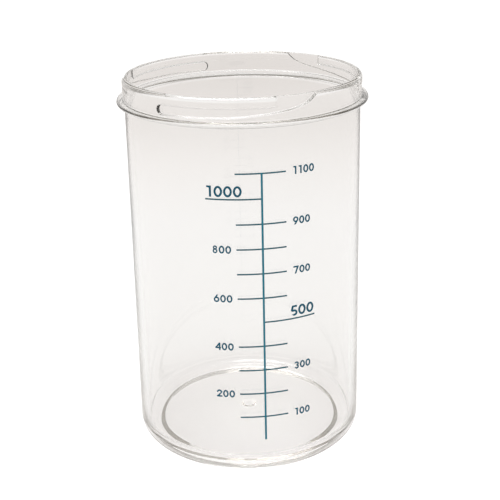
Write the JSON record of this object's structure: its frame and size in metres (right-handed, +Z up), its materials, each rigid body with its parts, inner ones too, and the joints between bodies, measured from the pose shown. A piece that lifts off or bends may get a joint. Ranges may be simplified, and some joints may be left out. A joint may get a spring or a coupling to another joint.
{
  "type": "graduated plastic jar",
  "caption": "Clear moulded cylindrical jar with a flanged bayonet collar, open top and a printed volume scale in blue.",
  "frame": {"origin": "centre of the circle the foot ring stands on", "axes": "+Z up along the jar's axis, -Y towards the printed scale, +X to the right when the scale is read"},
  "size_m": [0.1172, 0.1172, 0.18],
  "materials": {
    "clear_plastic": "clear, polished",
    "blue_ink": "screen-printed ink, satin"
  },
  "bodies": {
    "root": {"jar": "clear_plastic", "scale_line": "blue_ink", "mark_100": "blue_ink", "mark_200": "blue_ink", "mark_300": "blue_ink", "mark_400": "blue_ink", "mark_500": "blue_ink", "mark_600": "blue_ink", "mark_700": "blue_ink", "mark_800": "blue_ink", "mark_900": "blue_ink", "mark_1000": "blue_ink", "mark_1100": "blue_ink", "number_100": "blue_ink", "number_200": "blue_ink", "number_300": "blue_ink", "number_400": "blue_ink", "number_500": "blue_ink", "number_600": "blue_ink", "number_700": "blue_ink", "number_800": "blue_ink", "number_900": "blue_ink", "number_1000": "blue_ink", "number_1100": "blue_ink"}
  },
  "joints": []
}
